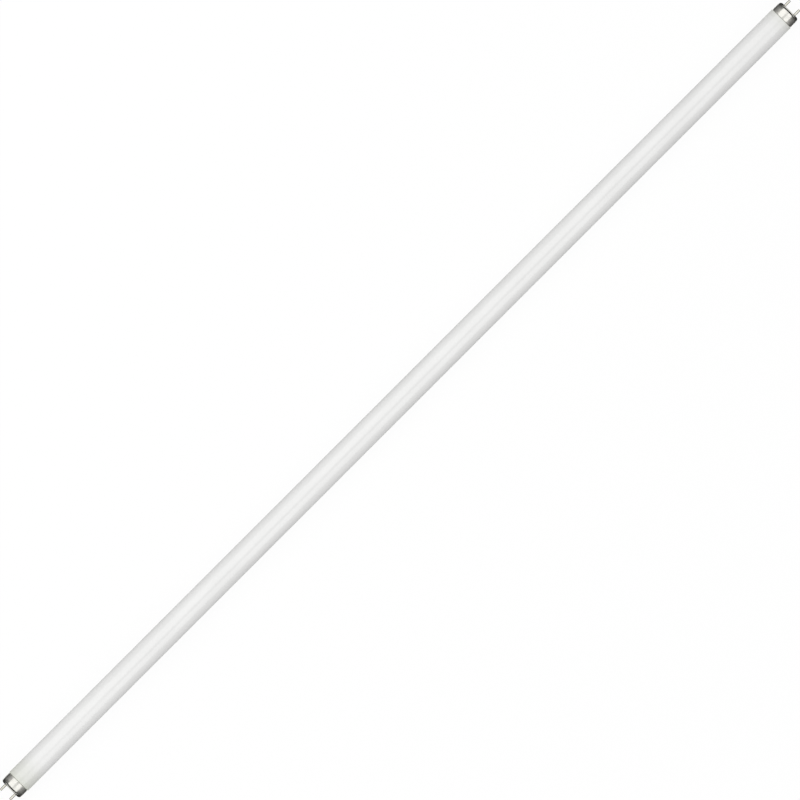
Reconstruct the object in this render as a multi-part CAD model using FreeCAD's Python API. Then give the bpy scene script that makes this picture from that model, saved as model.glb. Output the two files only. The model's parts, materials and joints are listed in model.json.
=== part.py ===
import FreeCAD, Part
import math
import os
from FreeCAD import Vector

# Straight two-pin fluorescent tube, lying along X with its pins level. Millimetres, Z up.
# The origin is the middle of the tube's axis. Both ends are alike, half a turn about Z apart.

# Whole tube
face_to_face = 1047.0
tube_diameter = 25.4

# Drawn metal shell of a cap
cap_length = 10.8
cap_step = 0.55
cap_wall = 0.3
cap_corner_round = 3.0
rim_turn_length = 0.8
rim_turn_drop = 0.25

# Contact pins
pin_spacing = 12.7
pin_diameter = 2.35
pin_length = 7.1
pin_shank_diameter = 2.0
pin_wall = 0.3
pin_tip_round = 0.7
pin_flange_width = 0.7
pin_flange_thickness = 0.4
pin_tail_length = 1.2
staking_bead_width = 0.4
staking_bead_thickness = 0.2

# Moulded insulator that carries the pins
insulator_thickness = 1.8
insulator_recess = 0.25
insulator_margin = 0.9

# Glass seal inside a cap
cement_thickness = 0.7
shoulder_length = 0.55
shoulder_round = 1.2
rim_to_neck = 0.1
seal_gap = 1.0
seal_thickness = 1.7
seal_round = 0.75
funnel_depth = 14.0
funnel_bottom_diameter = 11.2
exhaust_diameter = 4.5
exhaust_reach = 0.7
exhaust_tip_round = 1.9

# Lead wires
lead_diameter = 0.6
lead_bend_radius = 4.0
lead_straight_start = 4.5
lead_slant_length = 6.0

# Cement ring
cement_rim_margin = 1.2
cement_seal_margin = 0.8

# Clearances
fit_gap = 0.03
bond_line = 0.02
pin_hole_gap = 0.02

# The most of a run that the rounding at one of its ends may take up
round_share = 0.98

tube_radius = tube_diameter / 2
pin_radius = pin_diameter / 2
shank_radius = pin_shank_diameter / 2
lead_radius = lead_diameter / 2
exhaust_radius = exhaust_diameter / 2
funnel_bottom_radius = funnel_bottom_diameter / 2

# Radii that follow from the tube and the pins
cap_radius = tube_radius - cap_step
cap_inner_radius = cap_radius - cap_wall
neck_radius = cap_inner_radius - cement_thickness
pin_offset = pin_spacing / 2
opening_radius = pin_offset + pin_radius + insulator_margin
funnel_mouth_radius = neck_radius - seal_thickness
lead_offset = (exhaust_radius + funnel_bottom_radius) / 2

# Places along the axis, from the middle outwards
face_x = face_to_face / 2
rim_x = face_x - cap_length
pin_tip_x = face_x + pin_length
insulator_front_x = face_x - insulator_recess
insulator_seat_x = face_x - cap_wall
insulator_back_x = insulator_seat_x - insulator_thickness
pin_flange_x = insulator_back_x - pin_flange_thickness
pin_tail_x = pin_flange_x - pin_tail_length
seal_x = pin_tail_x - seal_gap
neck_x = rim_x + rim_to_neck
shoulder_x = neck_x - shoulder_length
funnel_bottom_x = seal_x - funnel_depth
exhaust_tip_x = seal_x + exhaust_reach

x_axis = Vector(1, 0, 0)
z_axis = Vector(0, 0, 1)
middle = Vector(0, 0, 0)
full_turn = 360
half_turn = 180


def corner(x, r, rounding=0.0):
    """One corner of an outline: its place along the axis, its radius and its rounding."""
    return Vector(x, 0, r), rounding


def rounded_corner(before, point, after, rounding, room):
    """The start, middle and end of the arc that rounds one corner, tangent to both runs."""
    to_before = before - point
    to_after = after - point
    half_angle = to_before.getAngle(to_after) / 2
    tangent = min(rounding / math.tan(half_angle), room)
    radius = tangent * math.tan(half_angle)
    to_before.normalize()
    to_after.normalize()
    inwards = to_before + to_after
    inwards.normalize()
    start = point + to_before * tangent
    end = point + to_after * tangent
    bulge = point + inwards * (radius / math.sin(half_angle) - radius)
    return start, bulge, end


def room_beside(this, neighbour):
    """How much of the run to a neighbour a rounding may use: half of it if both are rounded."""
    ends = 2 if neighbour[1] > 0 else 1
    return round_share * (neighbour[0] - this[0]).Length / ends


def outline(corners):
    """A flat face inside a closed run of corners, with the rounded ones drawn as arcs."""
    count = len(corners)
    stops = []
    arcs = []
    for i in range(count):
        point, rounding = corners[i]
        before = corners[i - 1]
        after = corners[(i + 1) % count]
        if rounding > 0:
            room = min(room_beside(corners[i], before), room_beside(corners[i], after))
            start, bulge, end = rounded_corner(before[0], point, after[0], rounding, room)
            arcs.append(Part.Arc(start, bulge, end).toShape())
            stops.append((start, end))
        else:
            stops.append((point, point))
    lines = []
    for i in range(count):
        run_start = stops[i - 1][1]
        run_end = stops[i][0]
        lines.append(Part.makeLine(run_start, run_end))
    return Part.Face(Part.Wire(Part.__sortEdges__(lines + arcs)))


def turned(corners):
    """A solid turned about the tube's axis."""
    return outline(corners).revolve(middle, x_axis, full_turn)


def rod(radius, x_start, x_end, y=0.0):
    """A plain round bar along X."""
    return Part.makeCylinder(radius, x_end - x_start, Vector(x_start, y, 0), x_axis)


def glass_half():
    """Half of the sealed vessel: tube, shoulder, neck, rounded seal, funnel and exhaust stub."""
    return turned(
        [
            corner(0, 0),
            corner(0, tube_radius),
            corner(shoulder_x, tube_radius, shoulder_round),
            corner(neck_x, neck_radius),
            corner(seal_x, neck_radius, seal_round),
            corner(seal_x, funnel_mouth_radius, seal_round),
            corner(funnel_bottom_x, funnel_bottom_radius),
            corner(funnel_bottom_x, exhaust_radius),
            corner(exhaust_tip_x, exhaust_radius, exhaust_tip_round),
            corner(exhaust_tip_x, 0),
        ]
    )


def glass_tube():
    """The whole vessel: two halves as one piece of glass, opaque, so it is solid here."""
    right = glass_half()
    return right.fuse(at_left_end(right)).removeSplitter()


def cap_form(inset):
    """The closed form of a cap, taken in by an even inset on its side, corner and face."""
    side = cap_radius - inset
    face = face_x - inset
    return turned(
        [
            corner(rim_x, 0),
            corner(rim_x, side - rim_turn_drop),
            corner(rim_x + rim_turn_length, side),
            corner(face, side, cap_corner_round - inset),
            corner(face, 0),
        ]
    )


def cap_shell():
    """Drawn cup of even wall, open at the glass, with a round opening in its end."""
    cup = cap_form(0).cut(cap_form(cap_wall))
    return cup.cut(rod(opening_radius, insulator_back_x, face_x + cap_wall))


def insulator():
    """Disc that fills the inside corner of the shell, with a face that stands in the opening."""
    slab = rod(tube_radius, insulator_back_x, insulator_seat_x)
    seated = cap_form(cap_wall + fit_gap).translated(x_axis * fit_gap)
    face = rod(opening_radius - fit_gap, insulator_back_x, insulator_front_x)
    body = seated.common(slab).fuse(face).removeSplitter()
    for side in (-1, 1):
        hole = rod(shank_radius + pin_hole_gap, insulator_back_x, face_x, side * pin_offset)
        body = body.cut(hole)
    return body


def pin(side):
    """Hollow pin: tail, flange behind the insulator, shank in it, bead on its face, rounded tip."""
    bore = shank_radius - pin_wall
    lead_hole = lead_radius + fit_gap
    flange = shank_radius + pin_flange_width
    bead = pin_radius + staking_bead_width
    bead_x = insulator_front_x + staking_bead_thickness
    blank = turned(
        [
            corner(pin_tail_x, bore),
            corner(pin_tail_x, shank_radius),
            corner(pin_flange_x, shank_radius),
            corner(pin_flange_x, flange),
            corner(insulator_back_x, flange),
            corner(insulator_back_x, shank_radius),
            corner(insulator_front_x, shank_radius),
            corner(insulator_front_x, bead),
            corner(bead_x, bead),
            corner(bead_x, pin_radius),
            corner(pin_tip_x, pin_radius, pin_tip_round),
            corner(pin_tip_x, lead_hole),
            corner(pin_tip_x - pin_wall, lead_hole),
            corner(pin_tip_x - pin_wall, bore),
        ]
    )
    return blank.translated(Vector(0, side * pin_offset, 0))


def lead(side):
    """Wire from the bottom of the glass funnel, bent outwards and straight through the pin."""
    bend_x = funnel_bottom_x + lead_straight_start
    points = [
        Vector(funnel_bottom_x, side * lead_offset, 0),
        Vector(bend_x, side * lead_offset, 0),
        Vector(bend_x + lead_slant_length, side * pin_offset, 0),
        Vector(pin_tip_x, side * pin_offset, 0),
    ]
    room = round_share * lead_slant_length / 2
    edges = []
    run_start = points[0]
    for i in (1, 2):
        start, bulge, end = rounded_corner(*points[i - 1 : i + 2], lead_bend_radius, room)
        edges.append(Part.makeLine(run_start, start))
        edges.append(Part.Arc(start, bulge, end).toShape())
        run_start = end
    edges.append(Part.makeLine(run_start, points[-1]))
    section = Part.Wire(Part.makeCircle(lead_radius, points[0], x_axis))
    return Part.Wire(edges).makePipeShell([section], True, False)


def cement_ring():
    """Band of cement between the neck of the glass and the inside of the shell."""
    start = rim_x + cement_rim_margin
    end = seal_x - cement_seal_margin
    outside = rod(cap_inner_radius - bond_line, start, end)
    inside = rod(neck_radius + bond_line, start, end)
    return outside.cut(inside)


def at_left_end(shape):
    """The same piece at the other end, half a turn about Z away."""
    moved = shape.copy()
    moved.rotate(middle, z_axis, half_turn)
    return moved


def pieces():
    """Every node by name. Front is the side towards minus Y, at both ends."""
    found = {"glass_tube": glass_tube()}
    for end in ("left", "right"):
        outwards = -1 if end == "left" else 1
        made = {
            "cap_shell": cap_shell(),
            "insulator": insulator(),
            "cement_ring": cement_ring(),
            "front_pin": pin(-outwards),
            "rear_pin": pin(outwards),
            "front_lead": lead(-outwards),
            "rear_lead": lead(outwards),
        }
        for name, shape in made.items():
            found[f"{end}_{name}"] = at_left_end(shape) if end == "left" else shape
    return found


os.makedirs("parts", exist_ok=True)
for name, shape in pieces().items():
    shape.exportStep(f"parts/{name}.step")
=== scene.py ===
import json
import math

import bpy
import numpy as np
from bpy.props import FloatProperty, FloatVectorProperty, IntProperty, PointerProperty
from bpy.types import Operator, Panel, PropertyGroup
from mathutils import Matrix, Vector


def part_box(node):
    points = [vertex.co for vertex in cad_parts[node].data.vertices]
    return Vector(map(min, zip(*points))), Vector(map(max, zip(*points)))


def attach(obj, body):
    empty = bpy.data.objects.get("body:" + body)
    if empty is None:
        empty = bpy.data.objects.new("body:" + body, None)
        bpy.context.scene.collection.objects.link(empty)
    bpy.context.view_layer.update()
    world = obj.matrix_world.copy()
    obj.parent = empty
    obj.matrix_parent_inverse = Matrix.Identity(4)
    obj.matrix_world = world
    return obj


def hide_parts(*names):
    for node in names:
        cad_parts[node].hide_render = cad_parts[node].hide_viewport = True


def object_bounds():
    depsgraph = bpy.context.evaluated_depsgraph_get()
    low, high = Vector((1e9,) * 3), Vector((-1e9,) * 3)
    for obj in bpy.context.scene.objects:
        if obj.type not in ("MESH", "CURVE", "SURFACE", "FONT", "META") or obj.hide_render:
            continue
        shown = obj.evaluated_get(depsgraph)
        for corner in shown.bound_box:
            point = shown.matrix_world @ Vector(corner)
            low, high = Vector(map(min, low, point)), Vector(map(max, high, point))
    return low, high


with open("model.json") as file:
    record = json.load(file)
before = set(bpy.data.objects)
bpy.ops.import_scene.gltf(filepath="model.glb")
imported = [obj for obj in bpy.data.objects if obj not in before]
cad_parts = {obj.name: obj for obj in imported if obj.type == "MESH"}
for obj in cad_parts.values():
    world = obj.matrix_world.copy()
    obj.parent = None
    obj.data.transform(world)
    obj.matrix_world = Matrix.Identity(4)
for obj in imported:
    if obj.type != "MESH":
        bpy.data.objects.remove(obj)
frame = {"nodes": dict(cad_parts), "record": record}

bl_info = {
    "name": "Fluorescent tube",
    "version": (1, 0, 0),
    "blender": (4, 5, 0),
    "location": "View3D > Sidebar > Tube",
    "description": "Builds the glass, caps and pins of a straight fluorescent tube and its studio",
    "category": "Object",
}

cad_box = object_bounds()

MM = 0.001
WHITE = (1.0, 1.0, 1.0)
ENDS = ("left", "right")
SIDES = ("front", "rear")
SIGNS = (-1.0, 1.0)  # left and front lie towards -X and -Y, right and rear towards +X and +Y


# Properties


def length(name, description, millimetres):
    """A length that is written in millimetres and kept in metres."""
    return FloatProperty(
        name=name,
        description=description,
        default=millimetres * MM,
        min=0.0,
        precision=5,
        unit="LENGTH",
    )


def distance(name, description, metres):
    """A length of the studio, in metres."""
    return FloatProperty(name=name, description=description, default=metres, unit="LENGTH")


def angle(name, description, degrees):
    """An angle that is written in degrees and kept in radians."""
    return FloatProperty(
        name=name, description=description, default=math.radians(degrees), subtype="ANGLE"
    )


def share(name, description, value):
    """A number from 0 to 1."""
    return FloatProperty(
        name=name,
        description=description,
        default=value,
        min=0.0,
        max=1.0,
        precision=3,
        subtype="FACTOR",
    )


def number(name, description, value, least=0.0):
    """A plain number, such as a ratio of two lengths."""
    return FloatProperty(name=name, description=description, default=value, min=least)


def strength(name, description, value):
    """How bright a lamp, a card or the surroundings are, where 1 is white."""
    return number(name, description, value)


def steps(description, count, fewest):
    """How many points a turned piece has in one turn."""
    return IntProperty(name="Steps around", description=description, default=count, min=fewest)


def colour(name, description, red, green, blue):
    """A colour as linear red, green and blue."""
    return FloatVectorProperty(
        name=name,
        description=description,
        default=(red, green, blue),
        min=0.0,
        max=1.0,
        subtype="COLOR",
    )


class TubeGlassSettings(PropertyGroup):
    """Sizes and finish of the coated glass."""

    around: steps("Points in one turn of the glass", 192, 24)
    shoulder_length: length("Shoulder", "Length of the taper beside a cap", 0.55)
    shoulder_round: length("Shoulder rounding", "Radius where the tube starts to taper", 1.2)
    neck_diameter: length("Neck", "Diameter of the glass inside a cap", 22.3)
    neck_round: length("Neck rounding", "Radius where the taper meets the neck", 0.6)
    rim_to_neck: length("Neck inset", "How far inside the cap's rim the neck starts", 0.1)
    seal_thickness: length("Seal", "Thickness of the melted edge at the neck's end", 1.7)
    seal_round: length("Seal rounding", "Radius of the melted edge", 0.75)
    funnel_depth: length("Funnel depth", "Depth of the glass funnel that carries the wires", 14.0)
    funnel_bottom: length("Funnel bottom", "Diameter of the bottom of the funnel", 11.2)
    funnel_round: length("Funnel rounding", "Radius in the bottom of the funnel", 0.9)
    exhaust_diameter: length("Exhaust stub", "Diameter of the sealed exhaust stub", 4.5)
    exhaust_reach: length("Exhaust reach", "How far the stub stands past the seal", 0.7)
    exhaust_round: length("Exhaust rounding", "Radius of the melted tip of the stub", 1.9)
    coat_light: colour("Coat, thin", "White of the powder where it lies thin", 0.785, 0.785, 0.778)
    coat_deep: colour("Coat, thick", "White of the powder where it lies thick", 0.757, 0.757, 0.75)
    end_colour: colour(
        "Bare end", "Colour of the glass beside a cap, where the coat ends", 0.605, 0.62, 0.55
    )
    end_length: length("Bare end length", "Length over which the coat fades towards a cap", 6.0)
    left_wear: share("Left wear", "How dark the coat has become at the left end", 0.55)
    left_wear_length: length("Left wear length", "Length of the darker coat at the left end", 32.0)
    right_wear: share("Right wear", "How dark the coat has become at the right end", 0.15)
    right_wear_length: length(
        "Right wear length", "Length of the darker coat at the right end", 16.0
    )
    roughness: share("Roughness", "Roughness of the drawn glass", 0.1)
    index: number("Index", "Refractive index that sets the gloss", 1.8, least=1.0)


class TubeCapSettings(PropertyGroup):
    """Sizes and finish of the drawn cap shells."""

    around: steps("Points in one turn of a cap", 160, 24)
    wall: length("Wall", "Thickness of the drawn metal", 0.3)
    corner_round: length("Corner rounding", "Outside radius between the side and the end", 3.0)
    rim_turn_length: length("Rim turn", "Length over which the rim is turned in", 0.8)
    rim_turn_drop: length("Rim drop", "How far the rim is turned in", 0.25)
    rim_turn_round: length("Rim turn rounding", "Radius of the turn in the rim", 1.6)
    side_bend: angle("Side bend", "How far the side leans in before the corner", 5.5)
    side_bend_place: length("Side bend place", "Distance from the end to that bend", 4.4)
    side_bend_round: length("Side bend rounding", "Radius of that bend", 34.0)
    edge_round: length("Edge rounding", "Radius on the cut edges of the metal", 0.1)
    opening_diameter: length("Opening", "Diameter of the opening in the end", 16.85)
    metal: colour("Metal", "Colour of the bright metal", 0.67, 0.66, 0.62)
    dull_metal: colour("Dull metal", "Colour of the metal where it is smudged", 0.61, 0.60, 0.56)
    roughness: share("Roughness", "Roughness of the bright metal", 0.17)
    plastic: colour("Insulator", "Colour of the moulded insulator", 0.70, 0.69, 0.64)
    plastic_deep: colour("Insulator, dark", "Darker tone in the insulator", 0.62, 0.61, 0.56)


class TubePinSettings(PropertyGroup):
    """Sizes and finish of the contact pins and of what the caps hold inside."""

    around: steps("Points in one turn of a pin", 72, 12)
    shank_diameter: length("Shank", "Diameter of the pin inside the insulator", 2.0)
    wall: length("Wall", "Thickness of the pin's wall at its shank and tip", 0.3)
    tip_round: length("Tip rounding", "Radius at the pin's tip", 0.7)
    tail_length: length("Tail", "Length of the pin behind its flange", 1.2)
    flange_thickness: length("Flange", "Thickness of the flange behind the insulator", 0.4)
    bead_width: length("Bead width", "How far the bead at the pin's foot stands out", 0.4)
    bead_thickness: length("Bead", "Thickness of the bead at the pin's foot", 0.2)
    wire_hole: length("Wire hole", "Diameter of the hole for the lead wire in the tip", 0.66)
    plating: colour("Plating", "Colour of the pale plated pins", 0.66, 0.645, 0.58)
    plating_worn: colour("Worn plating", "Colour of the pins where rubbed", 0.56, 0.53, 0.44)
    roughness: share("Roughness", "Roughness of the plated pins", 0.2)
    cement: colour("Cement", "Colour of the baked cement ring", 0.55, 0.47, 0.36)
    wire: colour("Lead wire", "Colour of the lead wires", 0.62, 0.58, 0.52)


class TubeStageSettings(PropertyGroup):
    """The studio: floor, surroundings, lamps, cards and camera."""

    floor_size: distance("Floor", "Length of each side of the floor", 400.0)
    floor_white: share("Floor white", "How much of the floor is plain white to the camera", 0.94)
    floor_colour: colour("Floor colour", "Colour of the floor under the lamps", 0.92, 0.92, 0.92)
    fill: strength("Fill", "Brightness of the surroundings as a light", 0.5)
    lamp_height: distance("Lamp height", "Height of both lamps above the tube's axis", 1.2)
    lamp_reach: distance("Lamp length", "Length of each lamp, along the tube", 3.6)
    lamp_shift: distance("Lamp shift", "How far both lamps stand towards the left end", 0.25)
    lamp_tilt: angle("Lamp tilt", "How far both lamps hang lower towards the left end", 7.0)
    rear_inner: angle("Rear lamp, inner edge", "Inner edge of the rear lamp, from upright", 3.5)
    front_inner: angle(
        "Front lamp, inner edge", "Inner edge of the front lamp, from upright", 15.5
    )
    lamp_outer: angle("Lamp, outer edge", "Outer edge of each lamp, from upright", 56.0)
    rear_lamp: strength("Rear lamp", "Brightness of the lamp on the rear side", 1.115)
    front_lamp: strength("Front lamp", "Brightness of the lamp on the front side", 0.82)
    # The side cards are seen only in reflections: their tones are painted dark reflections.
    card_distance: distance("Side card", "Distance of the side cards from the tube", 1.5)
    card_gap: distance("Card gap", "Distance on the floor from the tube to a side card", 0.008)
    card_high: strength("Side card, top", "Brightness of a side card at its upper edge", 0.85)
    card_low: strength("Side card, foot", "Brightness of a side card beside the tube", 0.048)
    front_share: share("Front card", "How bright the front card is, against the rear one", 0.78)
    card_spread: number(
        "Card spread", "How much longer a side card grows with its distance", 0.8
    )
    # The ceiling is seen only in reflections, in place of the lamps: its tones are painted
    # highlights.
    ceiling_outer: angle("Ceiling, outer edge", "Outer edge of the ceiling, from upright", 56.0)
    ceiling_gap: strength("Ceiling, middle", "Brightness of the ceiling between the lamps", 0.6)
    ceiling_gap_end: strength("Ceiling, middle, ends", "The same above the caps", 1.12)
    ceiling_end: distance("Ceiling ends", "Distance from the middle to those ends", 0.5)
    ceiling_rear: strength("Ceiling, rear", "Brightness of the ceiling above the rear lamp", 1.46)
    ceiling_front: strength(
        "Ceiling, front", "Brightness of the ceiling above the front lamp", 1.46
    )
    # The end cards and mats are seen only in reflections: their tones are painted dark
    # reflections.
    end_distance: distance("End card", "Distance of the end cards from the tube's middle", 0.9)
    end_head: angle("End card, top", "Upper edge of an end card, from upright at the cap", 25.0)
    end_foot: angle("End card, foot", "Lower edge of an end card, above level at the cap", 8.0)
    end_card: strength("End card tone", "Brightness of the end cards", 0.035)
    mat_length: distance("End mat", "Length of the mat on the floor beyond a cap", 0.08)
    mat_width: distance("End mat width", "Half the width of that mat", 0.06)
    mat_gap: distance("End mat gap", "Half the width of the white gap in it, at the cap", 0.006)
    mat_spread: number("Gap spread", "How much wider the gap grows with its distance", 0.35)
    view_width: distance("View width", "Width of what the camera sees at the tube", 0.7601)
    lens: FloatProperty(
        name="Lens", description="Focal length", default=1200.0, min=1.0, unit="CAMERA"
    )
    roll: angle("Roll", "Turn of the tube in the picture, to the upper right", 45.0)


# Shader helpers

# The Mix node has sockets of its own for each type of data. These are the ones for colours.
MIX_FACTOR, MIX_FIRST, MIX_SECOND, MIX_RESULT = 0, 6, 7, 2


class Signal:
    """One output of a node. Its operators add the Math nodes of an expression on values."""

    def __init__(self, nodes, socket):
        self.nodes = nodes
        self.socket = socket

    def __add__(self, other):
        return self.nodes.math("ADD", self, other)

    def __radd__(self, other):
        return self.nodes.math("ADD", other, self)

    def __sub__(self, other):
        return self.nodes.math("SUBTRACT", self, other)

    def __rsub__(self, other):
        return self.nodes.math("SUBTRACT", other, self)

    def __mul__(self, other):
        return self.nodes.math("MULTIPLY", self, other)

    def __rmul__(self, other):
        return self.nodes.math("MULTIPLY", other, self)

    def __truediv__(self, other):
        return self.nodes.math("DIVIDE", self, other)

    def __rtruediv__(self, other):
        return self.nodes.math("DIVIDE", other, self)

    def __abs__(self):
        return self.nodes.math("ABSOLUTE", self)

    def limited(self):
        """The same value, held between 0 and 1."""
        return self.nodes.add("ShaderNodeClamp", {}, {"Value": self})

    def eased(self, low, high):
        """0 below the low value, 1 above the high one and a smooth step between them."""
        return self.nodes.add(
            "ShaderNodeMapRange",
            {"interpolation_type": "SMOOTHSTEP"},
            {"Value": self, "From Min": low, "From Max": high},
        )

    def past(self, place, soft):
        """0 before a place and 1 past it, with a smooth step of that half width between them."""
        return self.eased(place - soft, place + soft)


class Nodes:
    """A node tree that is written as expressions."""

    def __init__(self, owner):
        owner.use_nodes = True
        self.tree = owner.node_tree
        self.tree.nodes.clear()

    def add(self, kind, settings=None, sockets=None, output=0):
        """Any node: its settings first, then its sockets' values or links. Gives one output."""
        node = self.tree.nodes.new(kind)
        for name, value in (settings or {}).items():
            setattr(node, name, value)
        for key, value in (sockets or {}).items():
            if isinstance(value, Signal):
                self.tree.links.new(value.socket, node.inputs[key])
            else:
                node.inputs[key].default_value = value
        return Signal(self, node.outputs[output]) if len(node.outputs) else None

    def math(self, operation, *terms):
        """A Math node on any values or signals, in the order given."""
        return self.add("ShaderNodeMath", {"operation": operation}, dict(enumerate(terms)))

    def place(self):
        """The point of the object's own space, in metres."""
        return self.add("ShaderNodeTexCoord", output="Object")

    def axes(self, vector):
        """The three parts of a vector."""
        node = self.add("ShaderNodeSeparateXYZ", {}, {"Vector": vector}).socket.node
        return [Signal(self, output) for output in node.outputs]

    def stretched(self, vector, x, y, z):
        """A vector with each of its parts scaled."""
        sockets = {0: vector, 1: (x, y, z)}
        return self.add("ShaderNodeVectorMath", {"operation": "MULTIPLY"}, sockets)

    def noise(self, vector, scale, detail=2.0):
        """Soft noise, about 0 to 1."""
        sockets = {"Vector": vector, "Scale": scale, "Detail": detail}
        return self.add("ShaderNodeTexNoise", {}, sockets, "Fac")

    def blend(self, factor, first, second):
        """A colour between two others."""
        sockets = {MIX_FACTOR: factor, MIX_FIRST: opaque(first), MIX_SECOND: opaque(second)}
        return self.add("ShaderNodeMix", {"data_type": "RGBA"}, sockets, MIX_RESULT)

    def bump(self, height, distance, amount):
        """A normal that follows a height, given in metres at height 1."""
        sockets = {"Strength": amount, "Distance": distance, "Height": height}
        return self.add("ShaderNodeBump", {}, sockets)

    def glow(self, tone):
        """A shader that shines with a colour of its own, where 1 is white."""
        return self.add("ShaderNodeEmission", {}, {"Color": opaque(tone)})

    def surface(self, sockets):
        """A Principled shader as the material's surface."""
        shader = self.add("ShaderNodeBsdfPrincipled", {}, sockets)
        self.show("ShaderNodeOutputMaterial", shader)

    def show(self, kind, shader):
        """The output node of a material or of the world."""
        self.add(kind, {}, {"Surface": shader})

    def seen(self):
        """1 for what the camera sees, straight or mirrored, and 0 for the light on things."""
        node = self.add("ShaderNodeLightPath").socket.node
        names = ("Is Camera Ray", "Is Glossy Ray", "Is Transmission Ray")
        camera, glossy, transmitted = [Signal(self, node.outputs[name]) for name in names]
        return (camera + glossy + transmitted).limited()


def opaque(value):
    """A colour with its fourth part, or a signal as it is."""
    return value if isinstance(value, Signal) else (*value, 1.0)


def grey(tone):
    """A colour without a tint, where 1 is white."""
    return (tone,) * 3


def new_material(name):
    """An empty material with that name, in the place of an earlier one."""
    return bpy.data.materials.get(name) or bpy.data.materials.new(name)


# Materials


def coated_glass(looks):
    """White powder behind clear drawn glass, in a thin and a thick tone, with a few darker specks.

    The coat is worn darker towards both ends, by a share and over a length of their own, and
    beside a cap it fades in two steps to bare glass.
    """
    material = new_material("coated_glass")
    nodes = Nodes(material)
    place = nodes.place()
    x = nodes.axes(place)[0]
    clouds = nodes.noise(nodes.stretched(place, 0.25, 1.0, 1.0), scale=90.0, detail=3.0)
    grain = nodes.noise(place, scale=1400.0, detail=1.0)
    cells = {"Vector": place, "Scale": 260.0}
    specks = nodes.add("ShaderNodeTexVoronoi", {}, cells, "Distance")
    thickness = (clouds * 0.8 + grain * 0.2).eased(0.3, 0.7)
    coat = nodes.blend(thickness, looks.coat_light, looks.coat_deep)
    dust = (1.0 - specks.eased(0.06, 0.16)) * clouds.eased(0.5, 0.75) * 0.25
    dusty = nodes.blend(dust, coat, looks.end_colour)
    rim = rim_place()
    fade_start = rim - looks.end_length
    fade_end = rim - looks.end_length * 0.75
    bare_start = rim - looks.end_length * 0.4
    worn_left = (0.0 - x).eased(rim - looks.left_wear_length, fade_start) * looks.left_wear
    worn_right = x.eased(rim - looks.right_wear_length, fade_start) * looks.right_wear
    faded = abs(x).eased(fade_start, fade_end) * 0.15
    bare = abs(x).eased(bare_start, rim + looks.rim_to_neck) * 0.35
    uncoated = worn_left + worn_right + faded + bare
    draw_lines = nodes.noise(nodes.stretched(place, 0.02, 1.0, 1.0), scale=260.0)
    smudges = nodes.noise(nodes.stretched(place, 0.5, 1.0, 1.0), scale=45.0, detail=4.0)
    rougher = smudges.eased(0.45, 0.75) * 0.08
    nodes.surface(
        {
            "Base Color": nodes.blend(uncoated, dusty, looks.end_colour),
            "Roughness": looks.roughness + rougher,
            "IOR": looks.index,
            "Normal": nodes.bump(draw_lines, distance=0.05 * MM, amount=0.25),
        }
    )
    return material


def drawn_metal(looks):
    """Bright drawn metal: fine marks around it from the die, and faint smudges from handling."""
    material = new_material("drawn_metal")
    nodes = Nodes(material)
    place = nodes.place()
    marks = nodes.noise(nodes.stretched(place, 1.0, 0.03, 0.03), scale=5200.0)
    handled = nodes.noise(place, scale=190.0, detail=3.0).eased(0.42, 0.72)
    nodes.surface(
        {
            "Base Color": nodes.blend(handled * 0.7, looks.metal, looks.dull_metal),
            "Metallic": 1.0,
            "Roughness": looks.roughness + handled * 0.07 + marks * 0.05,
            "Normal": nodes.bump(marks, distance=0.01 * MM, amount=0.18),
        }
    )
    return material


def moulded_plastic(looks):
    """Matt moulded plastic with a fine grain and a slight cloud in its colour."""
    material = new_material("moulded_plastic")
    nodes = Nodes(material)
    place = nodes.place()
    clouds = nodes.noise(place, scale=420.0, detail=4.0).eased(0.35, 0.7)
    grain = nodes.noise(place, scale=3800.0)
    nodes.surface(
        {
            "Base Color": nodes.blend(clouds, looks.plastic, looks.plastic_deep),
            "Roughness": 0.42 + grain * 0.15,
            "Normal": nodes.bump(grain, distance=0.03 * MM, amount=0.35),
        }
    )
    return material


def plated_pin(looks):
    """Pale plating with turning marks around the pin, rubbed warmer here and there."""
    material = new_material("plated_pin")
    nodes = Nodes(material)
    place = nodes.place()
    marks = nodes.noise(nodes.stretched(place, 1.0, 0.05, 0.05), scale=6400.0)
    patches = nodes.noise(nodes.stretched(place, 0.3, 1.0, 1.0), scale=900.0, detail=3.0)
    rubbed = patches.eased(0.45, 0.75)
    nodes.surface(
        {
            "Base Color": nodes.blend(rubbed * 0.8, looks.plating, looks.plating_worn),
            "Metallic": 1.0,
            "Roughness": looks.roughness + rubbed * 0.1 + marks * 0.05,
            "Normal": nodes.bump(marks, distance=0.01 * MM, amount=0.2),
        }
    )
    return material


def baked_cement(looks):
    """Grainy baked cement."""
    material = new_material("baked_cement")
    nodes = Nodes(material)
    grain = nodes.noise(nodes.place(), scale=1600.0, detail=5.0)
    dark = [part * 0.75 for part in looks.cement]
    nodes.surface(
        {
            "Base Color": nodes.blend(grain.eased(0.35, 0.65), looks.cement, dark),
            "Roughness": 0.8 + grain * 0.15,
            "Normal": nodes.bump(grain, distance=0.1 * MM, amount=0.5),
        }
    )
    return material


def lead_wire(looks):
    """Drawn wire with fine marks along it."""
    material = new_material("lead_wire")
    nodes = Nodes(material)
    marks = nodes.noise(nodes.stretched(nodes.place(), 0.05, 1.0, 1.0), scale=5200.0)
    dark = [part * 0.8 for part in looks.wire]
    nodes.surface(
        {
            "Base Color": nodes.blend(marks.eased(0.4, 0.7), looks.wire, dark),
            "Metallic": 1.0,
            "Roughness": 0.3 + marks * 0.1,
            "Normal": nodes.bump(marks, distance=0.01 * MM, amount=0.2),
        }
    )
    return material


# Shape helpers

ARC_POINTS = 12  # on each rounded corner
LONG_RUN = 4  # in gaps: a straight run longer than this gets two more points
GLASS_GAP = 0.5 * MM  # from the ends of such a run to its points
CAP_GAP = 0.2 * MM
PIN_GAP = 0.1 * MM
SHARP_ANGLE = math.radians(38)  # between two faces, past which their edge stays sharp


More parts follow.
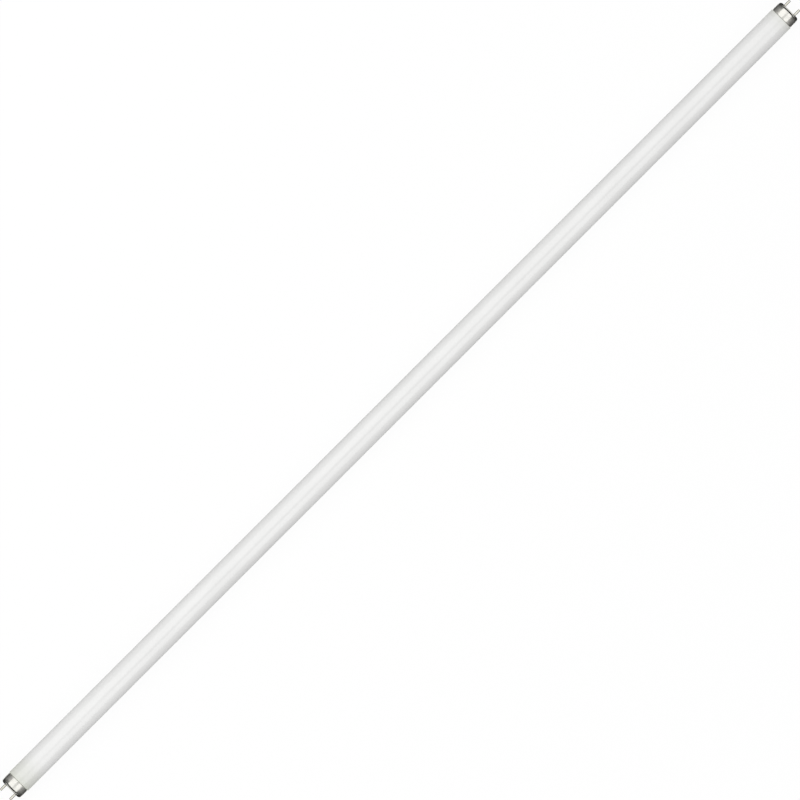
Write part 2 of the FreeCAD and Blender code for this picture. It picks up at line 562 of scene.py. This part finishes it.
def rounded_outline(corners, closed):
    """The points of an outline (x, r) whose corners are (x, r, rounding), as one array.

    A rounding becomes an arc that is tangent to both runs. With h as half the angle between the
    runs, the arc starts and ends rounding / tan(h) from the corner, and its centre lies
    rounding / sin(h) from it, on the line that halves the angle. A point of the arc at share s of
    its turn w is centre + (start sin((1 - s) w) + end sin(s w)) / sin(w), with start and end taken
    from the centre.
    """
    shares = np.linspace(0.0, 1.0, ARC_POINTS)[:, None]
    count = len(corners)
    points = []
    for i, (x, r, rounding) in enumerate(corners):
        corner = np.array((x, r))
        if rounding == 0.0 or not closed and i in (0, count - 1):
            points.append(corner[None])
            continue
        back = np.array(corners[i - 1][:2]) - corner
        on = np.array(corners[(i + 1) % count][:2]) - corner
        back /= np.linalg.norm(back)
        on /= np.linalg.norm(on)
        half = math.acos(float(back @ on)) / 2
        centre = corner + (back + on) / np.linalg.norm(back + on) * rounding / math.sin(half)
        start = corner + back * rounding / math.tan(half) - centre
        end = corner + on * rounding / math.tan(half) - centre
        turn = math.pi - 2 * half
        weights = np.hstack((np.sin((1 - shares) * turn), np.sin(shares * turn)))
        weights /= math.sin(turn)
        points.append(centre + weights @ np.array((start, end)))
    return np.vstack(points)


def held_runs(outline, closed, gap):
    """The same outline with a point one gap inside both ends of each long run.

    They keep the smooth shading of an arc from spreading over the straight run beside it. A
    run's step is its direction times the gap, and a run of no length has a step of none.
    """
    after = np.roll(outline, -1, axis=0)
    run = after - outline
    size = np.linalg.norm(run, axis=1, keepdims=True)
    step = run / np.maximum(size, gap * MM) * gap
    rows = np.stack((outline, outline + step, after - step), axis=1)
    keep = np.repeat(size > LONG_RUN * gap, 3, axis=1)
    keep[:, 0] = True
    if not closed:
        keep[-1, 1:] = False
    return rows[keep]


def wall_section(corners, gap):
    """The closed outline of a wall, with its corners rounded and its long runs held."""
    return held_runs(rounded_outline(corners, closed=True), closed=True, gap=gap)


def turned_piece(name, outline, closed, around, facing=1.0, centre_y=0.0):
    """An outline (x, r) turned about a line along X, as a mesh object.

    The point at turn a is (x, r sin a, r cos a). Facing -1 turns the piece half round about Z,
    to the other end, and centre_y moves its axis. An open outline starts and ends on the axis,
    where its rows close in one point; a closed one runs round the section of a wall.
    """
    turn = np.linspace(0.0, 2 * math.pi, around, endpoint=False)
    rows = outline if closed else outline[1:-1]
    x = np.repeat(rows[:, :1], around, axis=1)
    y = rows[:, 1:] * np.sin(turn)
    z = rows[:, 1:] * np.cos(turn)
    points = np.stack((x * facing, y * facing + centre_y, z), axis=-1).reshape(-1, 3)
    index = np.arange(len(rows) * around).reshape(len(rows), around)
    across = np.roll(index, -1, axis=1)
    lower = slice(None) if closed else slice(None, -1)
    onward = np.roll(index, -1, axis=0)[lower]
    onward_across = np.roll(across, -1, axis=0)[lower]
    squares = np.stack((index[lower], onward, onward_across, across[lower]), axis=-1)
    faces = squares.reshape(-1, 4).tolist()
    if not closed:
        poles = [(pole * facing, centre_y, 0.0) for pole in outline[[0, -1], 0]]
        first, last = len(points), len(points) + 1
        points = np.vstack((points, poles))
        faces += np.stack((np.full(around, first), index[0], across[0]), axis=-1).tolist()
        faces += np.stack((index[-1], np.full(around, last), across[-1]), axis=-1).tolist()
    return mesh_object(name, points, faces)


def flat_grid(name, outline, half_lengths, along_y=False):
    """A sheet that carries an outline (y, z) along X, or an outline (x, z) along Y.

    It reaches a half length to both sides of the middle: one number, or one for each point.
    """
    halves = np.broadcast_to(half_lengths, len(outline))
    along = np.stack((-halves, halves), axis=1)
    across = np.repeat(outline[:, :1], 2, axis=1)
    z = np.repeat(outline[:, 1:], 2, axis=1)
    order = (across, along, z) if along_y else (along, across, z)
    points = np.stack(order, axis=-1).reshape(-1, 3)
    index = np.arange(len(points)).reshape(-1, 2)
    faces = np.stack((index[:-1, 0], index[:-1, 1], index[1:, 1], index[1:, 0]), axis=-1)
    return mesh_object(name, points, faces.tolist())


def mesh_object(name, points, faces):
    """An object at the origin, its place in its mesh, instead of an earlier one of that name."""
    earlier = bpy.data.objects.get(name)
    if earlier:
        bpy.data.objects.remove(earlier)
    mesh = bpy.data.meshes.new(name)
    mesh.from_pydata(points.tolist(), [], faces)
    mesh.shade_smooth()
    mesh.set_sharp_from_angle(angle=SHARP_ANGLE)
    made = bpy.data.objects.new(name, mesh)
    bpy.context.scene.collection.objects.link(made)
    return made


def stand_for(piece, node, material):
    """The piece takes a node's place, rides with it and wears the material."""
    piece.data.materials.append(material)
    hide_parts(node)
    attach(piece, "root")


def dress(node, material):
    """A node that keeps its own mesh gets a finished material."""
    for material_slot in frame["nodes"][node].material_slots:
        material_slot.material = material


def reach(node):
    """How near and how far a node of one end lies from the tube's middle, along X."""
    low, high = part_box(node)
    return sorted((abs(low[0]), abs(high[0])))


def rim_place():
    """How far from the middle a cap's rim lies."""
    return reach("right_cap_shell")[0]


def mount_size(name, size):
    """A size of a mount in the record, in metres."""
    found = next(mount for mount in frame["record"]["mounts"] if mount["name"] == name)
    return found["dims"][size] * MM


# Pieces


def glass_outline(sizes):
    """Half of the vessel, from the middle outwards, as corners (x, r, rounding).

    The tube tapers at the shoulder to the neck. The neck's melted edge turns inwards, and the
    funnel goes back from it to its bottom, round the exhaust stub, whose tip lies on the axis.
    """
    tip = reach("glass_tube")[1]
    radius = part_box("glass_tube")[1][2]
    neck_x = rim_place() + sizes.rim_to_neck
    seal_x = tip - sizes.exhaust_reach
    bottom_x = seal_x - sizes.funnel_depth
    neck = sizes.neck_diameter / 2
    stub = sizes.exhaust_diameter / 2
    return [
        (neck_x - sizes.shoulder_length, radius, sizes.shoulder_round),
        (neck_x, neck, sizes.neck_round),
        (seal_x, neck, sizes.seal_round),
        (seal_x, neck - sizes.seal_thickness, sizes.seal_round),
        (bottom_x, sizes.funnel_bottom / 2, sizes.funnel_round),
        (bottom_x, stub, sizes.funnel_round),
        (tip, stub, sizes.exhaust_round),
        (tip, 0.0, 0.0),
    ]


def cap_outline(node, sizes):
    """The section of a cap's wall: rim, side, corner and end outside, then back along the inside.

    From its bend on, the outside falls by the tangent of the bend's angle. The inside doesn't.
    """
    rim, face = reach(node)
    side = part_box(node)[1][2]
    turn_x = rim + sizes.rim_turn_length
    opening = sizes.opening_diameter / 2
    edge = sizes.edge_round
    inner = side - sizes.wall
    bend_x = face - sizes.side_bend_place
    fall = sizes.side_bend_place * math.tan(sizes.side_bend)
    return [
        (rim, side - sizes.rim_turn_drop, edge),
        (turn_x, side, sizes.rim_turn_round),
        (bend_x, side, sizes.side_bend_round),
        (face, side - fall, sizes.corner_round),
        (face, opening, edge),
        (face - sizes.wall, opening, edge),
        (face - sizes.wall, inner, sizes.corner_round - sizes.wall),
        (turn_x, inner, sizes.rim_turn_round),
        (rim, inner - sizes.rim_turn_drop, edge),
    ]


def pin_outline(node, insulator, radius, sizes):
    """The section of a pin's wall: tail, flange, shank, bead, contact and tip, then the bore.

    The shank ends at the insulator's face, which carries the bead.
    """
    tail, tip = reach(node)
    low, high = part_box(node)
    flange = (high[2] - low[2]) / 2
    shank = sizes.shank_diameter / 2
    bore = shank - sizes.wall
    bead = radius + sizes.bead_width
    flange_x = tail + sizes.tail_length
    back_x = flange_x + sizes.flange_thickness
    front_x = reach(insulator)[1]
    bead_x = front_x + sizes.bead_thickness
    hole = sizes.wire_hole / 2
    return [
        (tail, bore, 0.0),
        (tail, shank, 0.0),
        (flange_x, shank, 0.0),
        (flange_x, flange, 0.0),
        (back_x, flange, 0.0),
        (back_x, shank, 0.0),
        (front_x, shank, 0.0),
        (front_x, bead, 0.0),
        (bead_x, bead, sizes.bead_thickness / 2),
        (bead_x, radius, 0.0),
        (tip, radius, sizes.tip_round),
        (tip, hole, 0.0),
        (tip - sizes.wall, hole, 0.0),
        (tip - sizes.wall, bore, 0.0),
    ]


class TUBE_OT_glass(Operator):
    """Turns the coated glass vessel with its shoulders and sealed ends"""

    bl_idname = "tube.glass"
    bl_label = "Glass"

    def execute(self, context):
        sizes = context.scene.tube_glass
        half = rounded_outline(glass_outline(sizes), closed=False)
        whole = np.vstack((half[::-1] * (-1.0, 1.0), half))
        outline = held_runs(whole, closed=False, gap=GLASS_GAP)
        piece = turned_piece("coated_tube", outline, False, sizes.around)
        stand_for(piece, "glass_tube", coated_glass(sizes))
        return {"FINISHED"}


class TUBE_OT_caps(Operator):
    """Turns both drawn cap shells and finishes the insulators in them"""

    bl_idname = "tube.caps"
    bl_label = "Caps"

    def execute(self, context):
        sizes = context.scene.tube_caps
        metal = drawn_metal(sizes)
        plastic = moulded_plastic(sizes)
        for end in ENDS:
            node = f"{end}_cap_shell"
            facing = math.copysign(1.0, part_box(node)[0][0])
            outline = wall_section(cap_outline(node, sizes), CAP_GAP)
            piece = turned_piece(f"{end}_drawn_cap", outline, True, sizes.around, facing)
            stand_for(piece, node, metal)
            dress(f"{end}_insulator", plastic)
        return {"FINISHED"}


class TUBE_OT_pins(Operator):
    """Turns the four hollow contact pins"""

    bl_idname = "tube.pins"
    bl_label = "Pins"

    def execute(self, context):
        sizes = context.scene.tube_pins
        plating = plated_pin(sizes)
        for end in ENDS:
            for side in SIDES:
                node = f"{end}_{side}_pin"
                name = f"{end}_{side}_contact"
                low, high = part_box(node)
                radius = mount_size(name, "r_mm")
                corners = pin_outline(node, f"{end}_insulator", radius, sizes)
                outline = wall_section(corners, PIN_GAP)
                facing = math.copysign(1.0, low[0])
                centre_y = (low[1] + high[1]) / 2
                piece = turned_piece(name, outline, True, sizes.around, facing, centre_y)
                stand_for(piece, node, plating)
        return {"FINISHED"}


class TUBE_OT_inside(Operator):
    """Finishes the cement rings and lead wires inside the caps"""

    bl_idname = "tube.inside"
    bl_label = "Cement and wires"

    def execute(self, context):
        looks = context.scene.tube_pins
        cement = baked_cement(looks)
        wire = lead_wire(looks)
        for end in ENDS:
            dress(f"{end}_cement_ring", cement)
            for side in SIDES:
                dress(f"{end}_{side}_lead", wire)
        return {"FINISHED"}


# Studio

# Cards, mats and the ceiling below are seen only in reflections, so their tones are painted
# reflections.
LAYER = 1 * MM  # height between the floor, the foot of a side card and an end mat
CARD_ROUND = 0.4  # radius, in metres, with which a side card turns up from the floor
CARD_FOOT = math.radians(122)  # from upright at the tube: where a side card is darkest
PAST_CAP = (-0.01, 0.1)  # slopes past a cap's face over which a side card darkens
PAST_CAP_SHARE = 0.75  # how much of the end cards' tone it then takes
CEILING_RISE = 1.5  # height of the ceiling, in lamp heights
CEILING_SEAM = math.radians(1)  # half of the step between two of its tones, across the tube
CEILING_END_SEAM = 20 * MM  # the same, along the tube
MAT_SEAM = 1 * MM  # half of the step beside the white gap in a mat


def unlit(material, nodes, shader):
    """The shader as the surface of a material that isn't counted as a lamp."""
    nodes.show("ShaderNodeOutputMaterial", shader)
    material.cycles.emission_sampling = "NONE"
    return material


def white_floor(settings):
    """A floor that is white to the camera and in reflections, and plain under the lamps.

    A small share stays plain to the camera too, so that the floor keeps the tube's shadow.
    """
    material = new_material("studio_floor")
    nodes = Nodes(material)
    matt = nodes.add("ShaderNodeBsdfDiffuse", {}, {"Color": opaque(settings.floor_colour)})
    sockets = {0: nodes.seen() * settings.floor_white, 1: matt, 2: nodes.glow(WHITE)}
    return unlit(material, nodes, nodes.add("ShaderNodeMixShader", {}, sockets))


def painted_side_reflection(settings, side, level):
    """A side card, seen only in reflections, whose tone is painted dark reflection: it grows paler
    from its foot to its top, by the angle from the tube's axis.

    Past the caps' faces it takes on much of the end cards' dark tone, a painted darker reflection
    on the caps.
    """
    material = new_material(f"{side}_card")
    nodes = Nodes(material)
    x, y, z = nodes.axes(nodes.place())
    from_upright = nodes.math("ARCTAN2", abs(y), z)
    height = 1.0 - from_upright.eased(settings.ceiling_outer, CARD_FOOT)
    tone = nodes.blend(height, grey(settings.card_low * level), grey(settings.card_high * level))
    beyond = ((abs(x) - reach("right_cap_shell")[1]) / abs(y)).eased(*PAST_CAP)
    shaded = nodes.blend(beyond * PAST_CAP_SHARE, tone, grey(settings.end_card))
    return unlit(material, nodes, nodes.glow(shaded))


def painted_end_reflection(settings):
    """An end card of one even dark tone, seen only in reflections as painted dark reflection."""
    material = new_material("end_card")
    nodes = Nodes(material)
    return unlit(material, nodes, nodes.glow(grey(settings.end_card)))


def painted_mat_reflection(settings):
    """A mat seen only in reflections: painted dark reflection, with a white gap of painted floor
    reflection that grows wider away from the cap.
    """
    material = new_material("end_mat")
    nodes = Nodes(material)
    x, y = nodes.axes(nodes.place())[:2]
    outwards = abs(x) - reach("right_cap_shell")[1]
    aside = abs(y) - outwards * settings.mat_spread
    dark = aside.past(settings.mat_gap, MAT_SEAM)
    return unlit(material, nodes, nodes.glow(nodes.blend(dark, WHITE, grey(settings.end_card))))


def painted_ceiling_highlights(settings):
    """The ceiling, seen only in reflections in place of the lamps: painted highlights, one tone
    over each lamp and a darker one over the gap between them.

    Above the gap it is paler towards both ends, over the caps.
    """
    material = new_material("painted_highlight_ceiling")
    nodes = Nodes(material)
    x, y, z = nodes.axes(nodes.place())
    from_upright = nodes.math("ARCTAN2", y, z)
    past_front = from_upright.past(-settings.front_inner, CEILING_SEAM)
    past_gap = from_upright.past(settings.rear_inner, CEILING_SEAM)
    at_end = abs(x).past(settings.ceiling_end, CEILING_END_SEAM)
    gap = nodes.blend(at_end, grey(settings.ceiling_gap), grey(settings.ceiling_gap_end))
    tone = nodes.blend(past_front, grey(settings.ceiling_front), gap)
    tone = nodes.blend(past_gap, tone, grey(settings.ceiling_rear))
    return unlit(material, nodes, nodes.glow(tone))


def stand_card(card, paper):
    """A card that only reflections show, so that its tone is painted reflection."""
    card.data.materials.append(paper)
    card.visible_camera = False
    card.visible_diffuse = False
    card.visible_transmission = False
    card.visible_shadow = False


def add_floor(settings):
    """A level floor under the tube."""
    half = settings.floor_size / 2
    ground = cad_box[0][2]
    outline = np.array(((-half, ground), (half, ground)))
    floor = flat_grid("studio_floor", outline, half)
    floor.data.materials.append(white_floor(settings))


def add_side_cards(settings):
    """A card on each side, with painted dark reflections: level beside the tube, then upright as
    far as the ceiling's edge.

    Its half length is that of the tube plus the spread times the distance from the tube.
    """
    foot = cad_box[0][2] + LAYER
    near = cad_box[1][1] + settings.card_gap
    far = settings.card_distance
    top = far / math.tan(settings.ceiling_outer)
    corners = [(near, foot, 0.0), (far, foot, CARD_ROUND), (far, top, 0.0)]
    outline = rounded_outline(corners, closed=False)
    half_lengths = reach("right_cap_shell")[1] + settings.card_spread * outline[:, 0]
    for side, sign, level in zip(SIDES, SIGNS, (settings.front_share, 1.0)):
        card = flat_grid(f"{side}_card", outline * (sign, 1.0), half_lengths)
        stand_card(card, painted_side_reflection(settings, side, level))


def add_end_cards(settings):
    """A dark upright card beyond each end, and a mat on the floor between it and the cap: both are
    seen only in reflections, as painted reflections.
    """
    face = reach("right_cap_shell")[1]
    far = settings.end_distance
    head = (far - face) / math.tan(settings.end_head)
    foot = (far - face) * math.tan(settings.end_foot)
    upright = np.array(((far, foot), (far, head)))
    mat_height = cad_box[0][2] + 2 * LAYER
    level = np.array(((face, mat_height), (face + settings.mat_length, mat_height)))
    dark = painted_end_reflection(settings)
    gapped = painted_mat_reflection(settings)
    for end, sign in zip(ENDS, SIGNS):
        mirror = (sign, 1.0)
        card = flat_grid(f"{end}_card", upright * mirror, settings.card_distance, along_y=True)
        stand_card(card, dark)
        mat = flat_grid(f"{end}_mat", level * mirror, settings.mat_width, along_y=True)
        stand_card(mat, gapped)


def add_highlight_ceiling(settings):
    """A level card above the lamps that only reflections show, with the lamps' painted highlights,
    as wide as its height times the outer angle's tangent.
    """
    high = settings.lamp_height * CEILING_RISE
    half_width = high * math.tan(settings.ceiling_outer)
    outline = np.array(((-half_width, high), (half_width, high)))
    ceiling = flat_grid("painted_highlight_ceiling", outline, settings.lamp_reach)
    stand_card(ceiling, painted_ceiling_highlights(settings))


def add_lamps(settings):
    """Two long soft lamps overhead, one on each side of upright, along the tube.

    The power of each is its brightness times pi times its area.
    """
    outer = settings.lamp_height * math.tan(settings.lamp_outer)
    levels = (settings.front_lamp, settings.rear_lamp)
    inner_edges = (settings.front_inner, settings.rear_inner)
    for side, sign, level, edge in zip(SIDES, SIGNS, levels, inner_edges):
        inner = settings.lamp_height * math.tan(edge)
        data = bpy.data.lights.new(f"{side}_lamp", "AREA")
        data.shape = "RECTANGLE"
        data.size = settings.lamp_reach
        data.size_y = outer - inner
        data.energy = level * math.pi * data.size * data.size_y
        lamp = bpy.data.objects.new(f"{side}_lamp", data)
        lamp.location = (-settings.lamp_shift, sign * (inner + outer) / 2, settings.lamp_height)
        lamp.rotation_euler = (0.0, -settings.lamp_tilt, 0.0)
        lamp.visible_camera = False
        # Reflections don't show the lamps; the ceiling's painted highlights stand in for them.
        lamp.visible_glossy = False
        bpy.context.scene.collection.objects.link(lamp)


def add_surroundings(settings):
    """White all round for the camera and in reflections, and a soft fill as a light."""
    world = bpy.data.worlds.new("studio")
    nodes = Nodes(world)
    tone = nodes.blend(nodes.seen(), grey(settings.fill), WHITE)
    nodes.show("ShaderNodeOutputWorld", nodes.add("ShaderNodeBackground", {}, {"Color": tone}))
    world.cycles.sampling_method = "NONE"
    bpy.context.scene.world = world


def add_camera(settings):
    """A long lens straight above the tube's middle, turned until the tube runs to the upper right.

    Its height is the view's width times the lens over the sensor's width.
    """
    data = bpy.data.cameras.new("camera")
    data.lens = settings.lens
    data.clip_end = settings.floor_size
    camera = bpy.data.objects.new("camera", data)
    camera.location = (0.0, 0.0, settings.view_width * data.lens / data.sensor_width)
    camera.rotation_euler = (0.0, 0.0, -settings.roll)
    bpy.context.scene.collection.objects.link(camera)
    bpy.context.scene.camera = camera


class TUBE_OT_stage(Operator):
    """Sets up the floor, surroundings, lamps, cards and camera"""

    bl_idname = "tube.stage"
    bl_label = "Studio"

    def execute(self, context):
        settings = context.scene.tube_stage
        add_floor(settings)
        add_side_cards(settings)
        add_end_cards(settings)
        add_highlight_ceiling(settings)
        add_lamps(settings)
        add_surroundings(settings)
        add_camera(settings)
        context.scene.view_settings.view_transform = "Standard"
        return {"FINISHED"}


# Sidebar and registration


class TUBE_PT_sidebar(Panel):
    """The tube's pieces, its studio and their settings"""

    bl_idname = "TUBE_PT_sidebar"
    bl_label = "Fluorescent tube"
    bl_space_type = "VIEW_3D"
    bl_region_type = "UI"
    bl_category = "Tube"

    def draw(self, context):
        for operators, name in SECTIONS:
            box = self.layout.box()
            for operator in operators:
                box.operator(operator.bl_idname)
            settings = getattr(context.scene, name)
            for key in settings.__annotations__:
                box.prop(settings, key)


SECTIONS = (
    ((TUBE_OT_glass,), "tube_glass"),
    ((TUBE_OT_caps,), "tube_caps"),
    ((TUBE_OT_pins, TUBE_OT_inside), "tube_pins"),
    ((TUBE_OT_stage,), "tube_stage"),
)

GROUPS = {
    "tube_glass": TubeGlassSettings,
    "tube_caps": TubeCapSettings,
    "tube_pins": TubePinSettings,
    "tube_stage": TubeStageSettings,
}

OPERATORS = (TUBE_OT_glass, TUBE_OT_caps, TUBE_OT_pins, TUBE_OT_inside, TUBE_OT_stage)


def register():
    """Registers the settings, operators and sidebar."""
    for group in GROUPS.values():
        bpy.utils.register_class(group)
    for name, group in GROUPS.items():
        setattr(bpy.types.Scene, name, PointerProperty(type=group))
    for operator in OPERATORS:
        bpy.utils.register_class(operator)
    bpy.utils.register_class(TUBE_PT_sidebar)


def unregister():
    """Takes them out again, in the reverse order."""
    bpy.utils.unregister_class(TUBE_PT_sidebar)
    for operator in reversed(OPERATORS):
        bpy.utils.unregister_class(operator)
    for name, group in GROUPS.items():
        delattr(bpy.types.Scene, name)
        bpy.utils.unregister_class(group)


def main():
    """Builds every piece and the studio."""
    register()
    bpy.ops.tube.glass()
    bpy.ops.tube.caps()
    bpy.ops.tube.pins()
    bpy.ops.tube.inside()
    bpy.ops.tube.stage()


if __name__ == "__main__":
    main()
